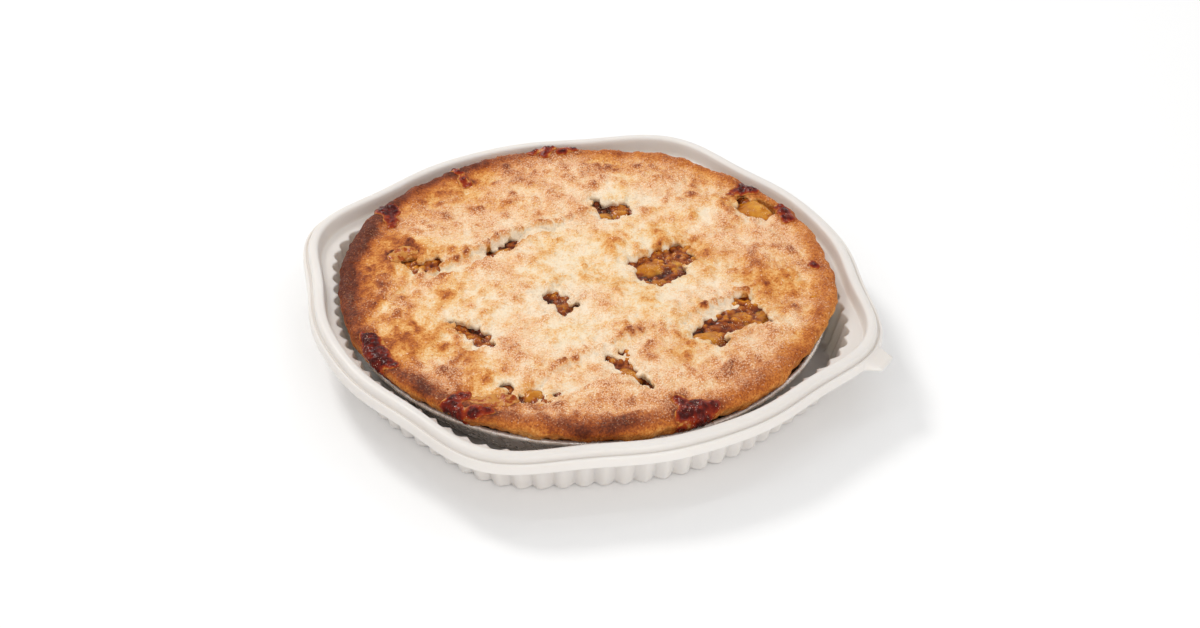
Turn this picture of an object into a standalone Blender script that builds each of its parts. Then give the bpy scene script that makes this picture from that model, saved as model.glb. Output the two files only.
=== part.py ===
"""Lattice apple pie in a foil tin, set in a fluted white plastic tray.

Metres, +Z up.  The origin is the middle of the tray's flat underside, which stands on
the table at z = 0.  The tray's pull tab points to +X and a little to -Y.

The nodes are the tray, the foil tin, the bottom crust with its raised rim, the apple
filling and eight broad pastry strips with scalloped edges: four lying on the filling
and four laid across them.
"""

import math

import bmesh
import bpy

MM = 0.001
GAP = 0.3 * MM  # kept between pieces that touch

# Tray: a thin formed sheet with a rolled bead, an outer flange and 80 flutes in its wall.
TRAY_HEIGHT = 28.2 * MM
TRAY_SHEET = 0.9 * MM
BEAD_RADIUS = 112.8 * MM  # mean radius of the bead's outer top edge
BEAD_LOBES = ((4, 3.91 * MM), (8, 2.27 * MM), (12, 0.85 * MM))  # waves round the outline
LEDGE_DROP = 6.5 * MM  # from the bead's top down to the ledge
WALL_TOP_RADIUS = 104.2 * MM  # mean radius of the wall under the ledge
WALL_BASE_RADIUS = 100.2 * MM
# How much of the outline's waves the wall follows, and how deep its flutes are.
TOP_WAVES = (0.68, 2.1 * MM)
BASE_WAVES = (0.62, 2.8 * MM)
FLUTES = 80
CORNER_ANGLE = math.radians(-17.6)  # where one of the four lobes points
TAB_ROOTS = (math.radians(335.1), math.radians(342.1))
TAB_TIPS = (math.radians(336.8), math.radians(340.9))
TAB_LENGTH = 6.2 * MM

# Foil tin: a straight cone with a rolled rim.
TIN_CENTRE = (0.0, 0.0)  # the tin stands in the middle of the tray
TIN_SHEET = 0.5 * MM
TIN_FLOOR = TRAY_SHEET + GAP
TIN_BASE_RADIUS = 84.0 * MM
TIN_TOP_RADIUS = 97.2 * MM
TIN_ROLL = 0.9 * MM
TIN_ROLL_HEIGHT = 19.7 * MM

# Pie.
CRUST_THICKNESS = 3.0 * MM
CRUST_RADIUS = 102.2 * MM  # at the rim's widest, which stands out over the tin and above the tray's ledge
RIM_WIDEST = 26.9 * MM
RIM_TOP = 31.1 * MM
RIM_INNER_RADIUS = 91.6 * MM
FILLING_CENTRE_TOP = 28.6 * MM
FILLING_EDGE_TOP = 26.4 * MM
ROUND_SEGMENTS = 44
DOME_POWER = 2.0

# Lattice: broad strips of rolled pastry, cut with a fluted wheel.
LATTICE_ANGLE = math.radians(36.0)  # direction of the upper strips from +X
STRIP_THICKNESS = 2.5 * MM
STRIP_LIFT = 0.5 * MM  # keeps a strip's flat underside clear of the dome below it
SCALLOP_PITCH = 7.0 * MM
SCALLOP_DEPTH = 1.5 * MM
STRIP_RAMP = 5.0 * MM
LATTICE_RADIUS = 90.9 * MM
# Each strip's centre line and half width, measured across the strip from the tin's centre.
OVER_STRIPS = ((64.0, 20.0), (14.0, 18.5), (-34.0, 18.5), (-76.0, 13.5))
UNDER_STRIPS = ((-78.0, 14.0), (-40.0, 16.5), (5.5, 19.5), (60.0, 22.0))


def clear_scene():
    for ob in list(bpy.data.objects):
        bpy.data.objects.remove(ob)


def material(name, colour, roughness, metallic=0.0):
    made = bpy.data.materials.new(name)
    made.use_nodes = True
    shader = made.node_tree.nodes["Principled BSDF"]
    shader.inputs["Base Color"].default_value = (*colour, 1.0)
    shader.inputs["Roughness"].default_value = roughness
    shader.inputs["Metallic"].default_value = metallic
    return made


def finish(name, bm, made, sharp=math.radians(40)):
    """Turns a closed bmesh into the named object, with its faces pointing out."""
    bmesh.ops.recalc_face_normals(bm, faces=bm.faces)
    mesh = bpy.data.meshes.new(name)
    bm.to_mesh(mesh)
    bm.free()
    mesh.materials.append(made)
    mesh.shade_smooth()
    mesh.set_sharp_from_angle(angle=sharp)
    ob = bpy.data.objects.new(name, mesh)
    bpy.context.scene.collection.objects.link(ob)
    return ob


def even_angles(count, start=0.0):
    return [start + 2 * math.pi * k / count for k in range(count)]


def add_ring(bm, angles, radius, z, centre=(0.0, 0.0)):
    """One ring of vertices, as (angle, vertex) pairs.  radius is a number or a function of angle."""
    ring = []
    for a in angles:
        r = radius(a) if callable(radius) else radius
        place = (centre[0] + r * math.cos(a), centre[1] + r * math.sin(a), z)
        ring.append((a, bm.verts.new(place)))
    return ring


def bridge(bm, ring_a, ring_b):
    """Faces between two rings that start at the same angle: quads, or triangles if the counts differ."""
    n, m = len(ring_a), len(ring_b)
    if n == m:
        for k in range(n):
            j = (k + 1) % n
            bm.faces.new((ring_a[k][1], ring_a[j][1], ring_b[j][1], ring_b[k][1]))
        return

    def angle(ring, k):
        return ring[k % len(ring)][0] + 2 * math.pi * (k // len(ring))

    i = j = 0
    while i < n or j < m:
        step_a = j >= m or (i < n and angle(ring_a, i + 1) <= angle(ring_b, j + 1))
        corner_a, corner_b = ring_a[i % n][1], ring_b[j % m][1]
        if step_a:
            bm.faces.new((corner_a, ring_a[(i + 1) % n][1], corner_b))
            i += 1
        else:
            bm.faces.new((corner_a, ring_b[(j + 1) % m][1], corner_b))
            j += 1


def turned(bm, rings):
    """A closed body from rings that run from one cap round to the other."""
    for ring_a, ring_b in zip(rings, rings[1:]):
        bridge(bm, ring_a, ring_b)
    bm.faces.new([v for _, v in rings[0]])
    bm.faces.new([v for _, v in rings[-1]])


# Tray ----------------------------------------------------------------------------------


def lobes(angle):
    """How far the tray's outline stands out from a circle at this angle."""
    turn = angle - CORNER_ANGLE
    return sum(depth * math.cos(waves * turn) for waves, depth in BEAD_LOBES)


def rim(offset, with_tab=False):
    """Radius of a rim ring, measured outward from the bead's outer top edge."""

    def radius(angle):
        on_tab = with_tab and TAB_TIPS[0] <= angle <= TAB_TIPS[1]
        return BEAD_RADIUS + lobes(angle) + offset + (TAB_LENGTH if on_tab else 0.0)

    return radius


def wall(mean_radius, waves):
    """Radius of a fluted wall ring: its flutes' outer lines lie on the corner angle's grid."""
    lobe_share, flute_depth = waves

    def radius(angle):
        flute = math.cos(FLUTES * (angle - CORNER_ANGLE))
        return mean_radius + lobe_share * lobes(angle) + flute_depth / 2 * flute

    return radius


def build_tray():
    bm = bmesh.new()
    fluted = even_angles(2 * FLUTES, CORNER_ANGLE)
    round_rim = sorted(even_angles(FLUTES, CORNER_ANGLE) + [*TAB_ROOTS, *TAB_TIPS])
    ledge = TRAY_HEIGHT - LEDGE_DROP
    outside = TRAY_SHEET + 0.1 * MM
    low = 2.2 * MM
    top = TRAY_HEIGHT

    profile = [
        (fluted, wall(WALL_BASE_RADIUS - 1.2 * MM, BASE_WAVES), TRAY_SHEET),
        (fluted, wall(WALL_TOP_RADIUS, TOP_WAVES), ledge),
        (round_rim, rim(-4.0 * MM), ledge),
        (round_rim, rim(-3.2 * MM), top - 0.9 * MM),
        (round_rim, rim(-1.9 * MM), top),
        (round_rim, rim(0.0), top),
        (round_rim, rim(1.6 * MM), top - 0.9 * MM),
        (round_rim, rim(2.5 * MM), top - 2.3 * MM),
        (round_rim, rim(3.4 * MM), top - 2.8 * MM),
        (round_rim, rim(3.8 * MM, with_tab=True), top - 6.4 * MM),
        (round_rim, rim(3.8 * MM, with_tab=True), top - 7.2 * MM),
        (round_rim, rim(2.9 * MM), top - 7.2 * MM),
        (round_rim, rim(2.4 * MM), top - 3.4 * MM),
        (round_rim, rim(-0.3 * MM), top - 1.2 * MM),
        (round_rim, rim(-3.0 * MM), ledge - TRAY_SHEET),
        (fluted, wall(WALL_TOP_RADIUS + outside, TOP_WAVES), ledge - TRAY_SHEET),
        (fluted, wall(WALL_BASE_RADIUS + outside - 0.3 * MM, BASE_WAVES), low),
        (fluted, wall(WALL_BASE_RADIUS - 2.0 * MM, BASE_WAVES), 0.0),
    ]
    turned(bm, [add_ring(bm, *row) for row in profile])
    white = material("tray_plastic", (0.83, 0.81, 0.79), 0.38)
    finish("tray", bm, white)


# Tin and pastry ------------------------------------------------------------------------


def turned_node(name, profile, made):
    bm = bmesh.new()
    angles = even_angles(ROUND_SEGMENTS)
    turned(bm, [add_ring(bm, angles, r, z, TIN_CENTRE) for r, z in profile])
    finish(name, bm, made)


def build_tin():
    roll_middle = TIN_TOP_RADIUS + TIN_ROLL
    around = [math.radians(a) for a in (135, 90, 45, 0, -45, -100)]
    roll = [
        (roll_middle + TIN_ROLL * math.cos(a), TIN_ROLL_HEIGHT + TIN_ROLL * math.sin(a))
        for a in around
    ]
    inner = TIN_TOP_RADIUS - TIN_SHEET
    profile = [
        (TIN_BASE_RADIUS - 2.0 * MM, TIN_FLOOR + TIN_SHEET),
        (TIN_BASE_RADIUS - 0.4 * MM, TIN_FLOOR + 1.8 * MM),
        (inner, TIN_ROLL_HEIGHT - TIN_ROLL),
        *roll,
        (TIN_TOP_RADIUS + 0.2 * MM, TIN_ROLL_HEIGHT - 1.6 * TIN_ROLL),
        (TIN_BASE_RADIUS + 0.3 * MM, TIN_FLOOR + 1.4 * MM),
        (TIN_BASE_RADIUS - 1.6 * MM, TIN_FLOOR),
    ]
    foil = material("tin_foil", (0.78, 0.78, 0.78), 0.28, metallic=1.0)
    turned_node("foil_tin", profile, foil)


def crust_outside(z):
    """Outer radius of the bottom crust's wall, just inside the tin."""
    foot = TIN_FLOOR + 1.8 * MM
    share = (z - foot) / (TIN_ROLL_HEIGHT - TIN_ROLL - foot)
    low = TIN_BASE_RADIUS - 0.4 * MM
    high = TIN_TOP_RADIUS - TIN_SHEET
    return low + share * (high - low) - 1.3 * GAP


def build_bottom_crust():
    base = TIN_FLOOR + TIN_SHEET + GAP
    shelf = TIN_ROLL_HEIGHT + TIN_ROLL + GAP
    under_rim = TIN_ROLL_HEIGHT - TIN_ROLL
    low = base + 2.2 * MM
    floor = base + CRUST_THICKNESS
    profile = [
        (crust_outside(low) - 2.2 * MM, base),
        (crust_outside(low), low),
        (crust_outside(under_rim), under_rim),
        (crust_outside(under_rim), shelf),
        (CRUST_RADIUS - 3.4 * MM, shelf),
        (CRUST_RADIUS - 1.4 * MM, RIM_WIDEST - 2.5 * MM),
        (CRUST_RADIUS, RIM_WIDEST),
        (CRUST_RADIUS - 0.7 * MM, RIM_WIDEST + 2.1 * MM),
        (CRUST_RADIUS - 2.8 * MM, RIM_TOP - 0.5 * MM),
        (CRUST_RADIUS - 5.6 * MM, RIM_TOP),
        (RIM_INNER_RADIUS, RIM_TOP - 0.9 * MM),
        (RIM_INNER_RADIUS, under_rim),
        (crust_outside(low + CRUST_THICKNESS) - CRUST_THICKNESS, low + CRUST_THICKNESS),
        (crust_outside(low) - CRUST_THICKNESS - 2.0 * MM, floor),
    ]
    pastry = material("bottom_pastry", (0.50, 0.24, 0.08), 0.7)
    turned_node("bottom_crust", profile, pastry)


def dome(x, y):
    """Height of the filling's top at a place measured from the tin's centre."""
    share = math.hypot(x, y) / RIM_INNER_RADIUS
    return FILLING_CENTRE_TOP + (FILLING_EDGE_TOP - FILLING_CENTRE_TOP) * share**DOME_POWER


def build_filling():
    base = TIN_FLOOR + TIN_SHEET + CRUST_THICKNESS + 2 * GAP
    low = TIN_FLOOR + TIN_SHEET + GAP + 2.2 * MM + CRUST_THICKNESS
    gap = 1.3 * GAP
    under_rim = TIN_ROLL_HEIGHT - TIN_ROLL
    edge = RIM_INNER_RADIUS - gap
    steps = (0.25, 0.5, 0.75, 1.0)
    profile = [(edge * s, dome(edge * s, 0.0)) for s in steps]
    profile += [
        (edge, under_rim),
        (crust_outside(low) - CRUST_THICKNESS - gap, low + gap),
        (crust_outside(low) - CRUST_THICKNESS - 4.6 * MM, base),
    ]
    apple = material("apple_filling", (0.40, 0.17, 0.03), 0.25)
    turned_node("filling", profile, apple)


# Lattice -------------------------------------------------------------------------------


def scallop(s):
    """A strip edge's outward reach at a place along it."""
    return SCALLOP_DEPTH / 2 * math.cos(2 * math.pi * s / SCALLOP_PITCH)


def smooth(share):
    share = max(0.0, min(1.0, share))
    return share * share * (3 - 2 * share)


def lift_over(along):
    """How far an upper strip climbs at a place along it, to clear the lower strips."""
    section = SCALLOP_PITCH / 2
    lift = 0.0
    for middle, half in UNDER_STRIPS:
        clear = half * MM + SCALLOP_DEPTH / 2 + section
        beyond = abs(along - middle * MM) - clear
        lift = max(lift, 1.0 - smooth(beyond / STRIP_RAMP))
    return lift * (STRIP_THICKNESS + STRIP_LIFT)


def build_strip(name, angle, offset, half_width, upper, made):
    """A strip along the direction angle, offset to its left from the tin's centre."""
    along = (math.cos(angle), math.sin(angle))
    across = (-math.sin(angle), math.cos(angle))
    step = SCALLOP_PITCH / 2
    nearest = max(0.0, abs(offset) - half_width - SCALLOP_DEPTH)
    half_length = math.sqrt(LATTICE_RADIUS**2 - nearest**2)
    half_count = math.ceil(half_length / step) + 1
    bm = bmesh.new()
    loops = []
    for k in range(-half_count, half_count + 1):
        s = k * step
        reach = half_width + scallop(s)
        edges = []
        for side in (-1, 1):
            c = offset + side * reach
            x = s * along[0] + c * across[0]
            y = s * along[1] + c * across[1]
            under = dome(x, y) + STRIP_LIFT + (lift_over(s) if upper else 0.0)
            edges.append((TIN_CENTRE[0] + x, TIN_CENTRE[1] + y, under))
        (lx, ly, lz), (rx, ry, rz) = edges
        corners = [
            (lx, ly, lz),
            (rx, ry, rz),
            (rx, ry, rz + STRIP_THICKNESS),
            (lx, ly, lz + STRIP_THICKNESS),
        ]
        loops.append([bm.verts.new(c) for c in corners])
    for a, b in zip(loops, loops[1:]):
        for k in range(4):
            j = (k + 1) % 4
            bm.faces.new((a[k], a[j], b[j], b[k]))
    bm.faces.new(loops[0])
    bm.faces.new(loops[-1])
    strip = finish(name, bm, made)
    trim_to_rim(strip)


def trim_to_rim(strip):
    """Cuts a strip's ends to the round that the rim leaves."""
    round_cut = strip.modifiers.new("round_cut", "BOOLEAN")
    round_cut.operation = "INTERSECT"
    round_cut.solver = "EXACT"
    round_cut.object = bpy.data.objects["lattice_round"]


def build_round():
    """The guide that trims every strip."""
    bm = bmesh.new()
    angles = even_angles(48)
    low, high = 10 * MM, 50 * MM
    turned(bm, [add_ring(bm, angles, LATTICE_RADIUS, z, TIN_CENTRE) for z in (high, low)])
    guide = finish("lattice_round", bm, material("guide", (0.5, 0.5, 0.5), 0.5))
    guide.hide_render = True
    guide.display_type = "WIRE"


def build_lattice():
    build_round()
    pale = material("lattice_pastry_under", (0.80, 0.56, 0.30), 0.65)
    golden = material("lattice_pastry_over", (0.74, 0.45, 0.20), 0.65)
    # The across direction of a lower strip is the upper strips' own direction.
    under_angle = LATTICE_ANGLE - math.pi / 2
    for k, (offset, half) in enumerate(UNDER_STRIPS, 1):
        build_strip(f"lattice_under_{k}", under_angle, offset * MM, half * MM, False, pale)
    for k, (offset, half) in enumerate(OVER_STRIPS, 1):
        build_strip(f"lattice_over_{k}", LATTICE_ANGLE, offset * MM, half * MM, True, golden)


clear_scene()
build_tray()
build_tin()
build_bottom_crust()
build_filling()
build_lattice()
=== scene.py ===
"""Looks of the lattice apple pie: browned pastry, apple filling, foil tin and plastic tray.

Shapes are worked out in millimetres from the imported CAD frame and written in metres.
The pastry is one sheet laid out from the pie's middle: a place on it is given by its
sheet coordinates, which near the middle are plain plan coordinates and which run on
over the rolled rim, so relief and colour follow the surface everywhere.
"""

import math

import bmesh
import bpy
import numpy as np
from mathutils import Matrix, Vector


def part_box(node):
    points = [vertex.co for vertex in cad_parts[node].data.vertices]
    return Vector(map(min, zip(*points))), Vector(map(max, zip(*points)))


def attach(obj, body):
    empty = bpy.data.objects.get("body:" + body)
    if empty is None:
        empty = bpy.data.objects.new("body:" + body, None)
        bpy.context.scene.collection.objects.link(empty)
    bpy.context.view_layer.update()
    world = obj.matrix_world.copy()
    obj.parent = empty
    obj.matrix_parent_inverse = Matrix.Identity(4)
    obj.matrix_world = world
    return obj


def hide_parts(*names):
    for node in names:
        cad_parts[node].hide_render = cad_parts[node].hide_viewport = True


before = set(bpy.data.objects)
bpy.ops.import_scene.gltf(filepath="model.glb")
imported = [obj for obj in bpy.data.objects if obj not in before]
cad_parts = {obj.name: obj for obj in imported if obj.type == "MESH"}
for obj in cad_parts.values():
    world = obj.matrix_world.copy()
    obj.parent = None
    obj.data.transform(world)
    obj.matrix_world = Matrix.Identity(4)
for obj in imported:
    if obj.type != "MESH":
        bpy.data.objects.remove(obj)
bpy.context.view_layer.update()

MM = 0.001
SEED = 7  # added to every number that picks a noise


# Frame --------------------------------


def box_mm(node):
    low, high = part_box(node)
    return np.array(low) / MM, np.array(high) / MM


tin_low, tin_high = box_mm("foil_tin")
crust_low, crust_high = box_mm("bottom_crust")

BEAD_Z = box_mm("tray")[1][2]
PIE_X, PIE_Y = (crust_low[:2] + crust_high[:2]) / 2
CRUST_R = (crust_high[0] - crust_low[0]) / 2
TIN_R = (tin_high[0] - tin_low[0]) / 2
TIN_FLOOR, TIN_TOP = tin_low[2], tin_high[2]
FILLING_FLOOR = box_mm("filling")[0][2]
PIE_TOP = max(box_mm(f"lattice_over_{k}")[1][2] for k in range(1, 5))


# Noise --------------------------------


def hash01(i, j, seed):
    """A repeatable value from 0 to 1 for each whole-number place."""
    mask = 0xFFFFFFFF
    n = (i * 374761393 + j * 668265263 + (SEED + seed) * 974711) & mask
    n = ((n ^ (n >> 13)) * 1274126177) & mask
    n = n ^ (n >> 16)
    return (n & 0xFFFFFF) / 0x1000000


def noise(x, y, size, seed):
    """Smooth noise from -1 to 1 with features about size mm across."""
    u, v = x / size + 517.3, y / size + 311.7
    i, j = np.floor(u).astype(np.int64), np.floor(v).astype(np.int64)
    a, b = u - i, v - j
    a, b = a * a * (3 - 2 * a), b * b * (3 - 2 * b)
    low = hash01(i, j, seed) * (1 - a) + hash01(i + 1, j, seed) * a
    high = hash01(i, j + 1, seed) * (1 - a) + hash01(i + 1, j + 1, seed) * a
    return 2 * (low * (1 - b) + high * b) - 1


LAYER_SHARE, LAYER_SIZE = 0.55, 0.47  # strength and size of each layer of noise against the last


def layers(x, y, size, seed, count=3):
    """Noise at falling sizes, from about -1 to 1."""
    total, weight = 0.0, 0.0
    for k in range(count):
        share = LAYER_SHARE**k
        turned_x = x * math.cos(k) - y * math.sin(k)
        turned_y = x * math.sin(k) + y * math.cos(k)
        total = total + share * noise(turned_x, turned_y, size * LAYER_SIZE**k, seed + 31 * k)
        weight += share
    return 1.5 * total / weight


def cells(x, y, size, seed):
    """Distance in cell sizes to the nearest of many scattered points, and that point's own value."""
    u, v = x / size + 211.0, y / size + 173.0
    i, j = np.floor(u).astype(np.int64), np.floor(v).astype(np.int64)
    nearest = np.full(np.shape(x), 9.0)
    value = np.zeros(np.shape(x))
    for di in (-1, 0, 1):
        for dj in (-1, 0, 1):
            a, b = i + di, j + dj
            px = a + 0.15 + 0.7 * hash01(a, b, seed)
            py = b + 0.15 + 0.7 * hash01(a, b, seed + 1)
            d = np.hypot(u - px, v - py)
            closer = d < nearest
            nearest = np.where(closer, d, nearest)
            value = np.where(closer, hash01(a, b, seed + 2), value)
    return nearest, value


def ramp(x, low, high):
    """0 below low, 1 above high and smooth between; low may be the larger."""
    t = np.clip((x - low) / (high - low), 0, 1)
    return t * t * (3 - 2 * t)


def dome(distance, width):
    """A round bump, 1 in its middle and 0 from this width out."""
    return np.sqrt(np.clip(1 - (distance / width) ** 2, 0, 1))


def mark(x, y, cx, cy, r):
    """A soft round mark, 1 in its middle and nearly 0 from two radii out."""
    return np.exp(-(((x - cx) ** 2 + (y - cy) ** 2) / (r * r)))


# Meshes -------------------------------


def add_object(name, data):
    """A new object in the scene."""
    thing = bpy.data.objects.new(name, data)
    bpy.context.scene.collection.objects.link(thing)
    return thing


def make_piece(name, points, faces, material, values=None, smooth=True):
    """A mesh object from points in mm; values are named numbers for each point."""
    mesh = bpy.data.meshes.new(name)
    mesh.from_pydata((np.asarray(points) * MM).tolist(), [], faces)
    for key, numbers in (values or {}).items():
        held = mesh.attributes.new(key, "FLOAT", "POINT")
        held.data.foreach_set("value", np.asarray(numbers, np.float32))
    mesh.materials.append(material)
    if smooth:
        mesh.shade_smooth()
    return add_object(name, mesh)


def face_outward(piece):
    """The piece again, with its faces turned outward."""
    bm = bmesh.new()
    bm.from_mesh(piece.data)
    bmesh.ops.recalc_face_normals(bm, faces=bm.faces)
    bm.to_mesh(piece.data)
    bm.free()
    return piece


def turned_shell(angle, rings, x=0.0, y=0.0):
    """Points and faces of a body from rings, each a radius and a height, from cap to cap."""
    count = len(angle)
    points = np.concatenate([
        np.column_stack([x + r * np.cos(angle), y + r * np.sin(angle), np.broadcast_to(z, count)])
        for r, z in rings
    ])
    faces = []
    for k in range(len(rings) - 1):
        for a in range(count):
            b = (a + 1) % count
            faces.append((k * count + a, k * count + b, (k + 1) * count + b, (k + 1) * count + a))
    last = (len(rings) - 1) * count
    faces.append(tuple(reversed(range(count))))
    faces.append(tuple(range(last, last + count)))
    return points, faces


def rounded(path, times=2):
    """An open path of points with its corners cut round and its ends kept."""
    path = np.array(path, float)
    for _ in range(times):
        a, b = path[:-1], path[1:]
        cut = np.stack([0.75 * a + 0.25 * b, 0.25 * a + 0.75 * b], 1).reshape(-1, path.shape[1])
        path = np.concatenate([path[:1], cut[1:-1], path[-1:]])
    return path


def grid_quads(numbers):
    """The quads of a grid, from its points' numbers laid out in rows."""
    corners = numbers[:-1, :-1], numbers[:-1, 1:], numbers[1:, 1:], numbers[1:, :-1]
    return np.stack(corners, -1).reshape(-1, 4)


def disc_grid(count):
    """Points of a square grid laid on a unit disc, its quads and the numbers round its edge."""
    a = np.linspace(-1, 1, count + 1)
    gx, gy = np.meshgrid(a, a)
    wide = np.abs(gx) > np.abs(gy)
    radius = np.where(wide, gx, gy)
    other = np.where(wide, gy, gx)
    turn = math.pi / 4 * other / np.where(radius == 0, 1, radius)
    angle = np.where(wide, turn, math.pi / 2 - turn)
    x, y = radius * np.cos(angle), radius * np.sin(angle)
    k = np.arange((count + 1) ** 2).reshape(count + 1, count + 1)
    edge = np.concatenate([k[0, :-1], k[:-1, -1], k[-1, :0:-1], k[:0:-1, 0]])
    return x.ravel(), y.ravel(), grid_quads(k), edge


# Materials ----------------------------


def linear(colour):
    """A display colour of 0 to 255 as linear light."""
    c = np.array(colour, float) / 255
    return tuple(np.where(c <= 0.04045, c / 12.92, ((c + 0.055) / 1.055) ** 2.4)) + (1.0,)


class Look:
    """A Principled material and short calls for the nodes that feed it."""

    def __init__(self, name, **sockets):
        self.material = bpy.data.materials.new(name)
        self.material.use_nodes = True
        self.nodes = self.material.node_tree.nodes
        self.links = self.material.node_tree.links
        self.shader = self.nodes["Principled BSDF"]
        for key, value in sockets.items():
            self.shader.inputs[key.replace("_", " ")].default_value = value
        self.place = self.nodes.new("ShaderNodeTexCoord").outputs["Object"]

    def feed(self, socket, value):
        if hasattr(value, "links"):
            self.links.new(value, socket)
        else:
            socket.default_value = value

    def node(self, kind, inputs=(), **settings):
        made = self.nodes.new(kind)
        for key, value in settings.items():
            setattr(made, key, value)
        for key, value in dict(inputs).items():
            self.feed(made.inputs[key], value)
        return made

    def value(self, name):
        return self.node("ShaderNodeAttribute", attribute_name=name).outputs["Fac"]

    def noise(self, size_mm, detail=3.0, rough=0.55):
        inputs = {"Vector": self.place, "Scale": 1 / (size_mm * MM), "Detail": detail, "Roughness": rough}
        return self.node("ShaderNodeTexNoise", inputs).outputs["Fac"]

    def cells(self, size_mm):
        inputs = {"Vector": self.place, "Scale": 1 / (size_mm * MM)}
        return self.node("ShaderNodeTexVoronoi", inputs).outputs["Distance"]

    def math(self, operation, a, b):
        return self.node("ShaderNodeMath", {0: a, 1: b}, operation=operation).outputs[0]

    def spread(self, value, low, high, to_low=0.0, to_high=1.0):
        inputs = {"Value": value, "From Min": low, "From Max": high, "To Min": to_low, "To Max": to_high}
        return self.node("ShaderNodeMapRange", inputs).outputs["Result"]

    def colours(self, value, stops):
        made = self.node("ShaderNodeValToRGB", {"Fac": value})
        band = made.color_ramp
        while len(band.elements) < len(stops):
            band.elements.new(0.5)
        for element, (place, colour) in zip(band.elements, stops):
            element.position = place
            element.color = linear(colour)
        return made.outputs["Color"]

    def mix(self, share, a, b, blend="MIX"):
        a, b = (c if hasattr(c, "links") else linear(c) for c in (a, b))
        made = self.node("ShaderNodeMix", {0: share, 6: a, 7: b}, data_type="RGBA", blend_type=blend)
        return made.outputs[2]

    def bump(self, height, depth_mm, strength, **under):
        inputs = {"Height": height, "Distance": depth_mm * MM, "Strength": strength, **under}
        return self.node("ShaderNodeBump", inputs).outputs["Normal"]

    def wear(self, colour, roughness, **more):
        for key, value in {"Base Color": colour, "Roughness": roughness, **more}.items():
            self.feed(self.shader.inputs[key], value)
        return self.material


# Where things are on the pastry -------

TOP_MIDDLE = 30.4
STRIP_TURN = math.radians(36)
OVER_STRIPS = ((60, 22.5), (14, 16.5), (-31, 16), (-76, 15))
UNDER_STRIPS = ((-78, 14.5), (-40, 16.5), (5.5, 19), (60, 21))
SCALLOP_PITCH = 5.6

# Each opening in the lattice is a few joined rounds: x, y, radius.
OPENINGS = {
    "north": ((2, 57, 2.2), (5, 51, 4.6), (9, 46, 5.0), (14, 49, 4.6), (14.5, 55, 2.6), (10, 52, 2.8)),
    "north_west": ((-31.5, 23, 3.2), (-35.5, 19, 3.4), (-40, 16, 2.6), (-32, 18, 2.4)),
    "west": ((-74, 9.5, 3.4), (-70, 5.5, 3.8), (-64.5, 4, 3.6), (-63, 9.5, 3.4)),
    "middle": ((37, 21, 3.6), (40, 13, 5.6), (32, 13, 6.4), (26, 7, 7.2), (33, 3, 7.6), (29, -4, 5.4),
        (23, -1, 4.0), (17.5, 6, 2.0)),
    "star": ((-13, -15.5, 2.0), (-12, -21, 4.2), (-8.5, -26, 3.4), (-17, -19, 1.8), (-10, -30, 1.8),
        (-5, -25, 1.6), (-9.5, -17.5, 2.2)),
    "south_west": ((-55, -34.5, 1.6), (-50, -37.5, 3.0), (-45, -41, 4.0), (-41, -45, 3.6),
        (-37.5, -49, 2.2)),
    "east": ((63, -15, 3.4), (66, -21.5, 6.0), (71, -26.5, 4.4), (60, -27, 7.0), (53, -32, 6.2),
        (47, -38, 5.2), (53, -43, 4.4)),
    "south": ((9, -56, 2.0), (13, -59, 3.4), (17, -64, 4.0), (22, -69, 2.8), (26, -72, 1.2)),
    "notch": ((14, -52.5, 1.4),),
    "south_edge": ((-31, -71.5, 1.6), (-29, -75, 2.0), (-20, -76, 2.6), (-24, -78, 1.4)),
    "slit": ((-11, -76, 1.2),),
    "north_east": ((71, 58, 8.6), (66, 66, 2.6)),
}

# Where juice boiled over and set: x, y, radius. A group with gold in its name is a pale film.
LEAKS = {
    "west": ((-86, -43, 4.5), (-83, -49, 5.5), (-80, -55, 5.0), (-75, -58.5, 3.0), (-84, -58, 4.2),
        (-83.5, -62.5, 3.6), (-82, -66, 2.6)),
    "south_west": ((-50, -80, 3.4), (-52, -84, 3.8), (-49, -88, 3.6), (-50, -93, 2.2), (-42, -88, 3.6),
        (-37, -87, 2.6), (-46, -77, 2.6)),
    "south": ((36, -81, 3.2), (42, -83, 5.2), (49, -83, 3.6), (38, -88, 4.0), (46, -90, 4.6),
        (51, -94, 3.0), (39, -95, 2.6)),
    "north_east": ((68, 75, 4.6), (64, 71, 3.4), (71, 71, 3.6), (61, 67, 2.2)),
    "east": ((83.5, 54, 3.4), (84, 49, 2.8), (81, 58, 2.2)),
    "north_west": ((-86, 50, 5.4), (-84, 43, 3.6), (-83, 37, 2.2), (-91, 55, 3.6)),
    "north": ((-20, 98, 2.8), (-13, 100, 2.6), (-27, 101, 3.4), (-20, 104, 4.0), (-9, 104, 3.0)),
    "north_slit": ((-55, 77, 2.3), (-53.5, 73, 2.4), (-57, 82, 2.4), (-60, 86, 2.6)),
    "bubble": ((93, 15, 2.8),),
    "west_gold": ((-79.5, 12, 3.0), (-77.5, 15.5, 3.0), (-73, 16, 2.4)),
    "gold": ((-41, -80, 3.2), (-36, -80.5, 3.6), (-31, -80, 3.0), (-27, -79.5, 2.2)),
}

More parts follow.
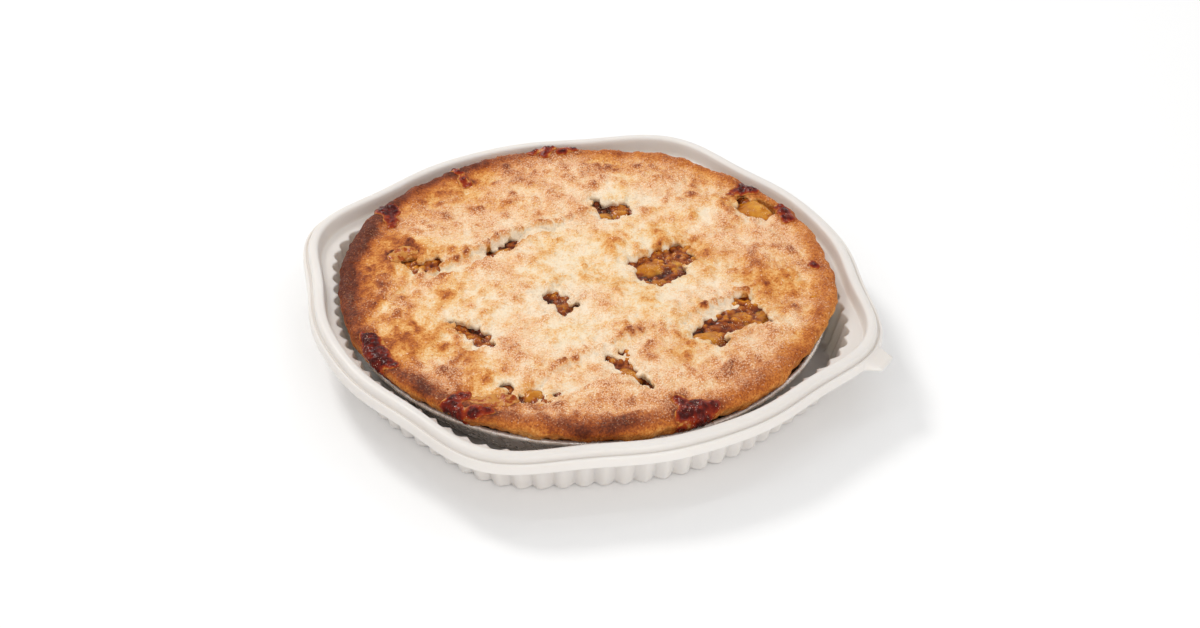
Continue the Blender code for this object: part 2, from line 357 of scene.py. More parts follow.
# Listed browner (positive) and paler (negative) areas: x, y, radius, amount.
TONES = (
    (-96, 0, 18, 0.22), (-93, -30, 16, 0.02), (-92, 28, 13, 0.28), (-76, -74, 15, 0.05),
    (-40, -94, 12, 0.08), (10, -96, 16, 0.08), (38, -92, 14, 0.10), (78, -60, 14, 0.04),
    (88, -38, 10, -0.01), (-64, 80, 16, 0.08), (-52, 72, 8, 0.12), (-50, -55, 9, 0.12),
    (-66, -46, 8, 0.16), (-75, -27, 9, 0.12), (8, 20, 5, 0.22), (-38, 46, 6, 0.06), (-20, 43, 5, 0.20),
    (-27, 39, 4, 0.14), (45, 20, 11, 0.28), (72, 3, 14, 0.20), (62, 38, 9, -0.04), (81, -7, 8, -0.03),
    (15, -31, 4, 0.10), (-75, 12, 8, 0.10), (60, -52, 10, 0.08), (0, 82, 9, 0.11), (10, 96, 10, 0.12),
    (-25, -34, 15, -0.18), (-50, -20, 8, 0.10), (12, 35, 8, -0.16), (-40, -30, 8, -0.12),
    (10, 62, 8, -0.14), (32, 53, 10, -0.27), (-15, 33, 10, -0.08), (48, -9, 12, -0.23),
    (36, -22, 8, -0.08), (-62, 6, 6, -0.16), (26, -58, 9, -0.08), (2, -45, 13, -0.12),
    (-38, -79, 7, -0.24), (78, 46, 8, -0.06), (-76, -11, 9, 0.20), (90, 40, 10, -0.06),
    (0, -72, 10, -0.04), (0, 5, 7, -0.12), (-60, 42, 8, 0.10), (-45, 5, 7, 0.08), (65, 6, 6, 0.08),
    (85, 25, 8, 0.06), (-10, -60, 8, 0.07), (-77, -44, 5, 0.16), (-70, -42, 5, 0.18),
    (-80, -37, 4, -0.12), (-73, -52, 3.5, -0.14), (-56, -50, 6, 0.14), (-41, -61, 5, -0.06),
    (-74, -59, 8, 0.10), (-62, -73, 8, 0.14), (-9, -96, 8, 0.12), (13, -95, 6, 0.08),
    (-46, -76, 4, 0.14), (-79, 13, 5, 0.16), (-74, 19, 5, 0.16), (-66, 14, 5, 0.14),
    (11, 60, 3.5, 0.16), (-70, -73, 6, -0.10), (0, -92, 7, -0.08), (30, -94, 7, -0.08),
    (10, 95, 6, -0.08), (75, -60, 7, -0.10), (-57, 71, 8, -0.09), (60, 66, 8, -0.16),
    (-35, 52.5, 2.6, 0.22), (-35, -5, 10, 0.08), (-65, -45, 7, 0.06), (80, -5, 8, 0.06),
    (60, 40, 8, 0.05), (-95, 0, 8, 0.05), (-1, -99, 4.5, 0.32), (8, -98, 4, 0.14), (-51, -48, 4, 0.20),
    (1, 66, 4, 0.22), (-31, 71, 6, 0.10), (-78, 62, 8, 0.08), (-46, 88, 8, 0.08), (81, 29, 6, -0.10),
    (-86, 12, 9, 0.05), (-60, -72, 10, 0.05), (60, 40, 9, 0.05), (-28, 48.5, 2.6, 0.20),
    (-21, 41, 3, 0.28), (-48, 60, 12, 0.06), (-90, 30, 6, 0.06), (76, -15, 6, 0.10), (64, -3, 5, 0.10),
    (60, -54, 8, 0.14), (30, 75, 6, 0.08),
)
# Where brown patches are fainter: x, y, radius, amount.
EVEN_AREAS = ((-45, 58, 30, 0.4), (70, 15, 30, 0.25))


def drawn(x, y):
    """Where a place on the pie lies on the plan that the lists above are drawn on.

    The plan leans with a dome, so its features sit further back in the middle and
    further forward at the rim than they are drawn."""
    return x - 0.5, y - 2.9 + 7.2 * np.clip(np.hypot(x, y) / 97, 0, 1) ** 2.2


def rounds(x, y, group, pull=0.9):
    """Distance outside a group of joined rounds, negative inside."""
    total = 0.0
    for cx, cy, r in group:
        total = total + np.exp(-(np.hypot(x - cx, y - cy) - r) / pull)
    return -pull * np.log(total + 1e-30)


def toothed(x, y):
    """Moves places a little, so that the outlines drawn there come out ragged like torn fluted dough."""
    d, _ = cells(x, y, 4.2, 3)
    out = 2.3 * (0.40 - d)
    wave_x = 0.9 * noise(x, y, 3.1, 5) + 0.5 * noise(x, y, 1.4, 6)
    wave_y = 0.9 * noise(x, y, 3.1, 8) + 0.5 * noise(x, y, 1.4, 9)
    return x + wave_x, y + wave_y, out


def opening_distance(x, y):
    wx, wy, out = toothed(*drawn(x, y))
    nearest = np.full(np.shape(x), 99.0)
    for group in OPENINGS.values():
        nearest = np.minimum(nearest, rounds(wx, wy, group))
    return nearest + np.where(np.abs(nearest) < 6, out, 0.0)


def leak_distance(x, y, groups=LEAKS.values()):
    x, y = drawn(x, y)
    wx = x + 1.1 * noise(x, y, 4.0, 15)
    wy = y + 1.1 * noise(x, y, 4.0, 16)
    nearest = np.full(np.shape(x), 99.0)
    for group in groups:
        nearest = np.minimum(nearest, rounds(wx, wy, group))
    return nearest


def strip_depth(across, along, strips, seed):
    """How far a place lies inside the nearest strip, negative outside, and its edge lobes' strength.

    The lobes show on a strip's lower side and only faintly on its upper one."""
    bend = 4.0 * noise(along, across, 34.0, seed) + 2.8 * noise(along, across, 13.0, seed + 1)
    place_along = along + 2.6 * noise(along, across, 10.0, seed + 2)
    wave = np.abs(np.cos(math.pi * place_along / SCALLOP_PITCH))
    lobe_no = np.floor(place_along / SCALLOP_PITCH + 0.5).astype(np.int64)
    strength = hash01(lobe_no, np.round(across / 30).astype(np.int64), seed + 3)
    deepest = np.full(np.shape(across), -99.0)
    lower = np.zeros(np.shape(across))
    for middle, half in strips:
        off = across + bend - middle
        low_side = ramp(off, 4, -4)
        reach = half - 0.6 + (0.8 + 2.4 * strength * low_side) * wave
        lower = np.where(reach - np.abs(off) > deepest, low_side, lower)
        deepest = np.maximum(deepest, reach - np.abs(off))
    return deepest, ramp(wave, 0.2, 0.8) * ramp(strength, 0.1, 0.7) * (0.15 + 0.85 * lower)


def lattice(x, y):
    x, y = drawn(x, y)
    along = x * math.cos(STRIP_TURN) + y * math.sin(STRIP_TURN)
    across = -x * math.sin(STRIP_TURN) + y * math.cos(STRIP_TURN)
    over, lobe = strip_depth(across, along, OVER_STRIPS, 20)
    under, _ = strip_depth(along, across, UNDER_STRIPS, 24)
    return over, under, lobe


def meridian():
    """The pastry's section, from middle to rim: sheet distance, radius, height and normal."""
    r, rim = CRUST_R, TIN_TOP
    path = [(rr, TOP_MIDDLE - 1.5 * (rr / 90) ** 2.2) for rr in np.linspace(0, 90, 31)]
    path += [
        (r - 5.8, rim + 10.3), (r - 3.0, rim + 10.1), (r - 0.9, rim + 8.6), (r - 0.2, rim + 6.4),
        (r - 0.9, rim + 4.0), (r - 2.0, rim + 2.0), (r - 2.9, rim + 0.6), (r - 6.2, rim + 0.3),
        (r - 7.2, rim - 1.2), (r - 7.6, rim - 2.8),
    ]
    path = rounded(path)
    step = np.hypot(*np.diff(path, axis=0).T)
    s = np.concatenate([[0], np.cumsum(step)])
    tangent = np.gradient(path, s, axis=0)
    tangent /= np.linalg.norm(tangent, axis=1)[:, None]
    return s, path[:, 0], path[:, 1], -tangent[:, 1], tangent[:, 0]


# Where the upper strips' lobed edges still stand out: x, y, radius.
CLEAR_EDGES = (
    (-57, 1, 9), (-47, 12, 9), (-37, 20, 9), (-28, 28, 9), (-19, 36, 9), (-6, 45, 8), (48, -20, 8),
    (61, -11, 8), (15, -42, 6), (-25, -68, 6), (-9, -62, 7), (7, -56, 6), (69, 10, 7),
    (82, 25, 7), (-39, 87, 7), (-30, 92, 6), (30, 22, 7), (-72, 20, 6),
)


def clear_edge(x, y):
    dx, dy = drawn(x, y)
    return np.clip(sum(mark(dx, dy, *spot) for spot in CLEAR_EDGES), 0, 1)


STANDING = 0.75  # below 1, so bumps and patches come out longer in Y than in X


def relief(x, y):
    """Height of the pastry's surface over its plain section, and named shares used by its colours."""
    s = np.hypot(x, y)
    over, under, lobe = lattice(x, y)
    inside = ramp(s, 95, 84)
    kept = 0.2 + 0.8 * clear_edge(x, y)
    step_over = ramp(over, -0.4, 1.0)
    step_under = ramp(under, -0.4, 1.2)
    edge = ramp(over, 5.2, 1.8) * step_over * ramp(s, 94, 66)
    h = inside * (0.4 + 0.6 * kept) * (1.4 * step_over + 1.3 * kept * edge * lobe)
    h = h + inside * (0.6 * step_under + 0.3 * ramp(over, 0, 9))

    on_top = ramp(s, 96, 88)
    sy = y * STANDING
    h = h + 1.0 * layers(x, sy, 16, 41, 2) + 0.55 * layers(x, sy, 6.5, 43, 2)
    pebble, rough = cells(x, sy, 4.8, 47)
    pebble = dome(pebble, 0.6) * ramp(rough, 0.25, 0.9)
    h = h + (0.15 + 0.5 * on_top) * pebble + 0.42 * noise(x, sy, 2.4, 45)
    spot, pick = cells(x, sy, 8.5, 50)
    width = 0.14 + 0.10 * pick
    few = ramp(pick, 0.80, 0.82) * ramp(layers(x, y, 22, 52), -0.2, 0.1)
    blister = dome(spot, width) * few
    h = h + 0.7 * blister * on_top
    wrinkle = np.abs(layers(x, sy, 5.5, 55, 2))
    h = h + 0.35 * ramp(wrinkle, 0.28, 0.0) * on_top
    pimple, _ = cells(x, sy, 2.0, 54)
    h = h + 0.30 * (0.45 - np.clip(pimple, 0, 0.8)) + 0.15 * noise(x, sy, 1.3, 57)

    hole = opening_distance(x, y)
    sunk = ramp(hole, 8, 0.5) * (1 - step_over * kept) * inside
    valley = ramp(over, -7.0, -1.5) * ramp(over, 0.6, -0.6) * inside * kept
    h = h - 0.7 * ramp(hole, 1.4, 0.0) - 0.7 * sunk - 0.25 * valley

    angle = np.arctan2(y, x)
    rim = ramp(s, 91, 97) * ramp(s, 114, 110)
    crease = np.abs(noise(angle * 60, s * 0.2, 4.0, 60))
    h = h - 0.35 * rim * ramp(crease, 0.08, 0.0) + rim * 0.5 * noise(angle * 60, 0 * s, 8.0, 61)
    return h, {
        "edge": edge * (0.1 + 0.9 * lobe) * inside * kept,
        "spot": ramp(spot / width, 1.25, 0.6) * few * on_top,
        "pebble": pebble * on_top,
        "sunk": sunk,
        "valley": valley,
        "hole": hole,
    }


def browning(x, y, shares):
    """How brown the pastry is, from 0, cream, to 1, nearly burnt."""
    s = np.hypot(x, y)
    turn = np.degrees(np.arctan2(y, x)) % 360
    b = 0.225 + 0.14 * ramp(s, 25, 75) + 0.12 * ramp(s, 76, 92) + 0.24 * ramp(s, 90, 98)
    b = b - 0.14 * ramp(s, 101.5, 105.5)
    b = b + 0.18 * ramp(s, 88, 99) * ramp(turn, 95, 120) * ramp(turn, 215, 195)
    crest = ramp(s, 91, 95) * ramp(s, 103, 99) * ramp(turn, 205, 222) * ramp(turn, 326, 304)
    b = b + 0.09 * crest * (0.9 + 0.9 * noise(turn, s, 11.0, 75))
    dx, dy = drawn(x, y)
    for *spot, amount in TONES:
        b = b + amount * mark(dx, dy, *spot)
    b = b + 0.34 * shares["edge"] - 0.15 * shares["sunk"] - 0.07 * shares["valley"]
    patchy = 1 - 0.6 * ramp(s, 84, 95)
    for *spot, amount in EVEN_AREAS:
        patchy = patchy - amount * mark(dx, dy, *spot)
    sy = y * STANDING
    b = b + patchy * (0.14 * layers(x, sy, 14, 70) + 0.22 * layers(x, sy, 5.0, 73))
    b = b + 0.12 * (shares["pebble"] - 0.25) * ramp(s, 0, 50)
    b = b + 0.12 * shares["spot"]
    return np.clip(b, 0.02, 1)


# Pastry sheet -------------------------

SECTION = meridian()
SHEET_R = SECTION[0][-1]


def outline(angle):
    """How much the pie's edge stands in or out from a circle at this angle, in mm."""
    turn = np.degrees(angle)
    flat = np.exp(-(((turn + 34) / 13) ** 2))
    front = np.exp(-(((turn + 100) / 34) ** 2))
    return 0.9 * front - 1.6 * flat + 0.4 * noise(angle * 30, 0 * angle, 9.0, 65)


def tuck(angle):
    """How far the rim's lower edge draws in at this angle, which bares the tin's roll, in mm."""
    turn = np.degrees(angle)
    front = ramp(turn, -31, -39) * ramp(turn, -154, -143)
    return front * (1.3 + 0.3 * noise(angle * 30, 0 * angle, 3.0, 67))


def place(x, y, h):
    """Points in space from sheet coordinates and height over the plain section."""
    s, angle = np.hypot(x, y), np.arctan2(y, x)
    r, z, out, up = (np.interp(s, SECTION[0], part) for part in SECTION[1:])
    r = r + outline(angle) * ramp(s, 55, 99) - tuck(angle) * ramp(s, 103.5, 108.5) + out * h
    return np.stack([PIE_X + r * np.cos(angle), PIE_Y + r * np.sin(angle), z + up * h], -1)


NEAREST_CUT = 0.06  # a cut stays this share of an edge away from its ends


def clip_grid(quads, keep, values):
    """Cuts a grid of quads along keep = 0 and leaves what is above it.

    values is a table with a row for each point. Gives the cut table, its faces and the
    cut's edges as pairs of rows, each pair in the order of the face beside it."""
    corner = keep[quads] > 0
    faces = quads[corner.all(1)].tolist()
    rows, made, cuts = [], {}, []
    first_new = len(values)

    def crossing(a, b):
        key = (min(a, b), max(a, b))
        if key not in made:
            share = min(1 - NEAREST_CUT, max(NEAREST_CUT, keep[a] / (keep[a] - keep[b])))
            made[key] = first_new + len(rows)
            rows.append(values[a] * (1 - share) + values[b] * share)
        return made[key]

    for quad in quads[corner.any(1) & ~corner.all(1)].tolist():
        loop, leave = [], []
        for a, b in zip(quad, quad[1:] + quad[:1]):
            if keep[a] > 0:
                loop.append(a)
            if (keep[a] > 0) != (keep[b] > 0):
                loop.append(crossing(a, b))
                if keep[a] > 0:
                    leave.append(len(loop) - 1)
        faces.append(loop)
        cuts += [(loop[k], loop[(k + 1) % len(loop)]) for k in leave]
    table = np.concatenate([values, np.array(rows)]) if rows else values
    used = np.unique(np.concatenate([np.ravel(f) for f in faces]))
    new = np.full(len(table), -1)
    new[used] = np.arange(len(used))
    new = new.tolist()
    faces = [[new[k] for k in f] for f in faces]
    cuts = [(new[a], new[b]) for a, b in cuts]
    return table[used], faces, cuts


def blurred(grid, times):
    for _ in range(times):
        padded = np.pad(grid, 1, mode="edge")
        grid = (padded[:-2, 1:-1] + padded[2:, 1:-1] + padded[1:-1, :-2] + padded[1:-1, 2:]) / 4
    return grid


PASTRY_GOLDEN = (
    (0.00, (248, 229, 198)), (0.20, (246, 209, 157)), (0.40, (236, 176, 102)), (0.55, (220, 143, 66)),
    (0.70, (192, 107, 40)), (0.85, (148, 70, 28)), (1.0, (92, 38, 18)),
)
PASTRY_DUSTED = (
    (0.00, (250, 231, 204)), (0.20, (246, 211, 168)), (0.40, (236, 181, 126)), (0.55, (220, 149, 92)),
    (0.70, (192, 116, 64)), (0.85, (150, 78, 42)), (1.0, (96, 46, 28)),
)


def pastry_material():
    look = Look("browned_pastry", IOR=1.45, Specular_IOR_Level=0.22)
    brown, sugar, wet = look.value("browning"), look.value("sugared"), look.value("wet")
    fine = look.noise(1.2, 5.0, 0.72)
    grain = look.noise(0.75, 2.0, 0.6)
    shift = look.math("MULTIPLY", look.math("SUBTRACT", fine, 0.5), 0.95)
    shift = look.math("ADD", shift, look.math("MULTIPLY", look.math("SUBTRACT", grain, 0.5), 0.65))
    shift = look.math("MULTIPLY", shift, look.spread(brown, 0.45, 0.8, 1.0, 0.55))
    tone = look.math("ADD", brown, shift)
    dusting = look.math("ADD", sugar, look.math("SUBTRACT", look.noise(3.5, 3.0), 0.5))
    golden = look.colours(tone, PASTRY_GOLDEN)
    dusted = look.colours(tone, PASTRY_DUSTED)
    colour = look.mix(look.spread(dusting, 0.2, 0.7), golden, dusted)
    pale_speck = look.spread(look.cells(1.0), 0.38, 0.20)
    pale_share = look.math("MULTIPLY", pale_speck, look.spread(sugar, 0.15, 0.9, 0.05, 0.95))
    pale_share = look.math("MULTIPLY", pale_share, look.spread(brown, 0.45, 0.9, 1.0, 0.35))
    colour = look.mix(pale_share, colour, (255, 230, 200))
    dark_share = look.spread(brown, 0.2, 0.7, 0.15, 0.35)
    dark_speck = look.math("MULTIPLY", look.spread(grain, 0.60, 0.76), dark_share)
    colour = look.mix(dark_speck, colour, (176, 120, 80), "MULTIPLY")
    normal = look.bump(look.noise(1.3, 4.0, 0.65), 0.6, 0.9)
    normal = look.bump(look.cells(1.1), 0.25, 0.7, Normal=normal)
    dry = look.spread(fine, 0.3, 0.7, 0.42, 0.66)
    rough = look.math("SUBTRACT", dry, look.math("MULTIPLY", wet, 0.4))
    return look.wear(colour, rough, Normal=normal)


# Where sugar lies thicker (positive) or thinner (negative): x, y, radius, amount.
SUGARED = (
    (-25, 75, 26, 0.5), (-60, 45, 18, 0.4), (-70, -12, 16, 0.4), (15, -85, 30, 0.5), (78, 35, 12, 0.4),
    (60, -65, 18, 0.3), (-55, -72, 14, 0.4), (-25, -50, 16, 0.3), (40, 80, 18, 0.3),
    (-66, -44, 10, -0.8), (-75, 12, 10, -0.8), (82, -5, 12, -0.4), (-60, 88, 14, -0.6), (5, 95, 8, -0.5),
    (0, 5, 26, -0.25), (35, 40, 16, -0.3), (-40, -79, 10, -0.8), (60, 35, 8, -0.4), (-20, 20, 12, -0.3),
    (-74, -43, 8, -0.8), (46, 20, 10, -0.6), (-60, 60, 8, -0.4), (74, 0, 12, -0.5), (10, 60, 7, -0.8),
)


def sugar_share(x, y):
    """How thickly sugar lies on the pastry, 0 to 1."""
    s = np.hypot(x, y)
    base = 0.42 + 0.5 * layers(x, y, 26, 80, 2) + 0.25 * layers(x, y, 8, 82, 2)
    dx, dy = drawn(x, y)
    for *spot, amount in SUGARED:
        base = base + amount * mark(dx, dy, *spot)
    return np.clip(base, 0, 1) * (0.55 + 0.45 * ramp(s, 97, 91)) * ramp(s, 103, 98)


PASTRY_CELLS = 308
SMOOTHINGS = 40  # passes that give the surface that a bump is measured from
TOP_LIMIT = PIE_TOP - 0.05
SOFT_TOP = 0.25  # the highest bumps flatten over this height under the limit
WALL_STEPS = ((0.3, 0.7), (0.1, 1.5), (-0.5, 2.8), (-0.9, 5.6))  # mm into the opening, mm down
SHOWN_UV = 0.488  # half the side of the shown faces' share of the baked square
HIDDEN_UV, HIDDEN_UV_SIZE = 0.065, 0.12  # middle and side of the hidden faces' corner of it


def build_pastry():
    u, v, quads, outer = disc_grid(PASTRY_CELLS)
    x, y = u * SHEET_R, v * SHEET_R
    px, py = x + PIE_X, y + PIE_Y
    h, shares = relief(px, py)
    side = PASTRY_CELLS + 1
    square = h.reshape(side, side)
    raised = (square - blurred(square, SMOOTHINGS)).ravel()
    b = browning(px, py, shares) + 0.20 * np.clip(raised, -0.8, 0.9) * ramp(np.hypot(x, y), 99, 92)
    sugar = sugar_share(px, py)
    leak = leak_distance(px, py)
    h = h - 0.5 * ramp(leak, 1.0, -1.0)
    b = b + 0.10 * ramp(leak, 4.0, 0.0)
    points = place(x, y, h)
    points[:, 2] = TOP_LIMIT - SOFT_TOP * np.logaddexp(0, (TOP_LIMIT - points[:, 2]) / SOFT_TOP)
    values = np.column_stack([points, x, y, b, sugar, shares["sunk"], u, v])
    brown, dusted, wet, across, along = range(5, 10)  # the last columns of that table
    table, faces, cuts = clip_grid(quads, shares["hole"], values)

    # Walls of the openings, from the cut down into the filling.
    edge = sorted({k for cut in cuts for k in cut})
    ex, ey = table[edge, 3] + PIE_X, table[edge, 4] + PIE_Y
    tiny = 0.3
    gx = opening_distance(ex + tiny, ey) - opening_distance(ex - tiny, ey)
    gy = opening_distance(ex, ey + tiny) - opening_distance(ex, ey - tiny)
    size = np.hypot(gx, gy) + 1e-9
    gx, gy = gx / size, gy / size
    above = dict(zip(edge, edge))
    for step, (inward, down) in enumerate(WALL_STEPS):
        ring = table[edge].copy()
        ring[:, 0] -= gx * inward
        ring[:, 1] -= gy * inward
        ring[:, 2] -= down
        ring[:, brown] = ring[:, brown] * 0.7 - 0.02
        ring[:, dusted] = 0.1
        ring[:, wet] = 1.0
        ring[:, across] -= gx * (0.5 + 0.5 * step) / SHEET_R
        ring[:, along] -= gy * (0.5 + 0.5 * step) / SHEET_R
        below = {k: len(table) + n for n, k in enumerate(edge)}
        table = np.concatenate([table, ring])
        faces += [(above[b_], above[a_], below[a_], below[b_]) for a_, b_ in cuts]
        above = below
    after = {above[b_]: above[a_] for a_, b_ in cuts}
    shown = len(faces)

    # Hidden faces close the pastry: a floor in each opening, under the filling, and a flat underside.
    while after:
        loop = [next(iter(after))]
        while loop[-1] in after:
            loop.append(after.pop(loop[-1]))
        if len(loop) > 3:
            faces.append(loop[:-1])
    row_of = {(round(p[0], 9), round(p[1], 9)): k for k, p in enumerate(table[:, across:].tolist())}
    outer = [row_of[(round(u[k], 9), round(v[k], 9))] for k in outer]
    middle = table[outer].mean(0)
    table = np.concatenate([table, [middle]])
    centre = len(table) - 1
    faces += [(b_, a_, centre) for a_, b_ in zip(outer, outer[1:] + outer[:1])]

    values = {"browning": table[:, brown], "sugared": table[:, dusted], "wet": table[:, wet]}
    piece = make_piece("pie_pastry", table[:, :3], faces, pastry_material(), values)
    mesh = piece.data
    layout = mesh.uv_layers.new(name="OFBake")
    corner = np.zeros(len(mesh.loops), np.int32)
    mesh.loops.foreach_get("vertex_index", corner)
    uv = 0.5 + SHOWN_UV * table[corner, across:]
    hidden = mesh.polygons[shown].loop_start
    uv[hidden:] = HIDDEN_UV + HIDDEN_UV_SIZE * (uv[hidden:] - 0.5)
    layout.data.foreach_set("uv", uv.astype(np.float32).ravel())
    return piece


# Filling ------------------------------

FILLING_CELLS = 296
FILLING_R = 94.0
FOOT_R = FILLING_R - 12
GEL_DEPTH = 3.0  # under the pastry's plain section
CHUNKS = (
    # x, y, half length, half width, turn in degrees, top under the pastry's plain section
    (26, 6, 8.5, 5.5, 30, 0.7), (36, 10, 6, 5, -50, 1.2), (29, -4, 5, 4, 80, 1.6),
    (48, -40, 7, 5, 25, 0.5), (62, -25, 8, 5, -30, 1.5), (70, -22, 6, 4, 60, 1.6),
    (13, 50, 5, 4, 60, 0.9), (6, 47, 5, 4, 0, 1.4), (71.5, 58, 9.5, 8.5, 0, -0.1),
    (17, -65, 6, 4, -50, 0.7), (-10, -23, 5, 4, 10, 1.5), (-46, -42, 6, 4, -40, 1.2),
    (-70, 6, 5, 4, 0, 2.0), (-36, 17, 5, 3.5, 20, 1.0), (-20, -76, 5, 3.5, 10, 0.6),
)


def filling_top(x, y):
    """Height of the filling's top and how much of it there is apple, at plan places."""
    s = np.hypot(x - PIE_X, y - PIE_Y)
    plain = np.interp(s, SECTION[0], SECTION[2])
    gel = plain - GEL_DEPTH + 0.9 * layers(x, y, 8, 90, 2)
    bubble, pick = cells(x, y, 2.9, 93)
    small, _ = cells(x, y, 1.7, 94)
    gel = gel + (0.6 + 1.0 * pick) * dome(bubble, 0.62)
    gel = gel + 0.45 * dome(small, 0.6)
    rough = 0.5 * noise(x, y, 3.0, 97) + 0.25 * noise(x, y, 1.5, 98)
    x, y = drawn(x, y)
    apple = np.zeros(np.shape(x))
    top = gel
    for cx, cy, half, wide, turn, under in CHUNKS:
        c, d = math.cos(math.radians(turn)), math.sin(math.radians(turn))
        a = ((x - cx) * c + (y - cy) * d) / half
        b = (-(x - cx) * d + (y - cy) * c) / wide
        q = (np.abs(a) ** 2.6 + np.abs(b) ** 2.6) ** (1 / 2.6)
        lump = plain - under - 0.2 - 3.2 * (1 - dome(q, 1)) + rough
        inside = q < 1
        over = np.where(inside, lump - top, -9)
        apple = np.where(inside, np.maximum(apple, ramp(over, -0.3, 0.6)), apple)
        top = np.where(over > 0, lump, top)
    return top + 0.10 * noise(x, y, 1.6, 96), apple, top - plain


def filling_material():
    look = Look("apple_filling", IOR=1.45, Specular_IOR_Level=0.32)
    apple, depth = look.value("apple"), look.value("depth")
    cloud = look.noise(3.2, 4.0, 0.6)
    # Painted shade: the gel is coloured darker the lower it lies under the pastry, where the openings'
    # walls shade it; the cloud adds random tone on top.
    shaded_tone = look.math("ADD", look.spread(depth, -3.2, -0.6), look.spread(cloud, 0.3, 0.7, -0.35, 0.3))
    gel = look.colours(shaded_tone, (
        (0.0, (60, 18, 3)), (0.3, (112, 42, 5)), (0.6, (160, 76, 10)), (1.0, (214, 138, 34)),
    ))
    flesh = look.colours(look.noise(4.5, 4.0, 0.6), (
        (0.3, (168, 90, 14)), (0.5, (198, 124, 24)), (0.7, (220, 158, 58)),
    ))
    colour = look.mix(look.math("MULTIPLY", apple, look.spread(cloud, 0.35, 0.6, 0.55, 1.0)), gel, flesh)
    # Painted highlights: these pale specks mixed into the colour stand for glints on the wet gel.
    glint_specks = look.spread(look.cells(0.85), 0.26, 0.14)
    glint_specks = look.math("MULTIPLY", glint_specks, look.spread(look.noise(5.0), 0.46, 0.56))
    colour = look.mix(look.math("MULTIPLY", glint_specks, 0.85), colour, (250, 218, 176))
    normal = look.bump(look.noise(1.6, 2.0, 0.5), 0.3, 0.4)
    rough = look.spread(look.noise(2.0), 0.3, 0.7, 0.05, 0.12)
    return look.wear(colour, rough, Normal=normal)


def build_filling():
    u, v, quads, loop = disc_grid(FILLING_CELLS)
    x, y = PIE_X + u * FILLING_R, PIE_Y + v * FILLING_R
    z, apple, depth = filling_top(x, y)
    start, count = len(x), len(loop)
    foot_x, foot_y = PIE_X + u[loop] * FOOT_R, PIE_Y + v[loop] * FOOT_R
    points = np.concatenate([
        np.column_stack([x, y, z]),
        np.column_stack([x[loop], y[loop], np.full(count, TIN_TOP - 1.0)]),
        np.column_stack([foot_x, foot_y, np.full(count, FILLING_FLOOR + 0.2)]),
    ])
    faces = quads.tolist()
    upper = loop.tolist()
    for first in (start, start + count):
        lower = list(range(first, first + count))
        for a in range(count):
            b = (a + 1) % count
            faces.append((upper[b], upper[a], lower[a], lower[b]))
        upper = lower
    faces.append(tuple(reversed(upper)))
    pad = np.zeros(2 * count)
    values = {"apple": np.concatenate([apple, pad]), "depth": np.concatenate([depth, pad - GEL_DEPTH])}
    return face_outward(make_piece("apple_filling", points, faces, filling_material(), values))


# Boiled-over juice --------------------

JUICE_CELL = 0.4
FILM_SHARE = 0.15  # thickness of a pale film against that of the other juice


def juice_material():
    look = Look("set_juice", IOR=1.47, Specular_IOR_Level=0.2)
    thick = look.value("thick")
    cloud = look.noise(2.6, 4.0, 0.6)
    tone = look.math("ADD", look.spread(thick, 0.0, 1.0), look.spread(cloud, 0.3, 0.7, -0.3, 0.3))
    colour = look.colours(tone, (
        (0.0, (204, 138, 66)), (0.16, (170, 78, 24)), (0.38, (146, 44, 10)), (0.7, (108, 22, 6)),
        (1.0, (66, 10, 4)),
    ))
    # Painted highlights: these pale specks mixed into the colour stand for glints on the wet juice.
    glint_specks = look.spread(look.cells(0.9), 0.24, 0.12)
    glint_specks = look.math("MULTIPLY", glint_specks, look.spread(look.noise(4.0), 0.5, 0.58))
    colour = look.mix(look.math("MULTIPLY", glint_specks, 0.75), colour, (246, 200, 170))
    normal = look.bump(look.noise(0.9, 2.0, 0.5), 0.3, 0.6)
    rough = look.spread(look.noise(1.6), 0.3, 0.7, 0.06, 0.2)
    return look.wear(colour, rough, Normal=normal)


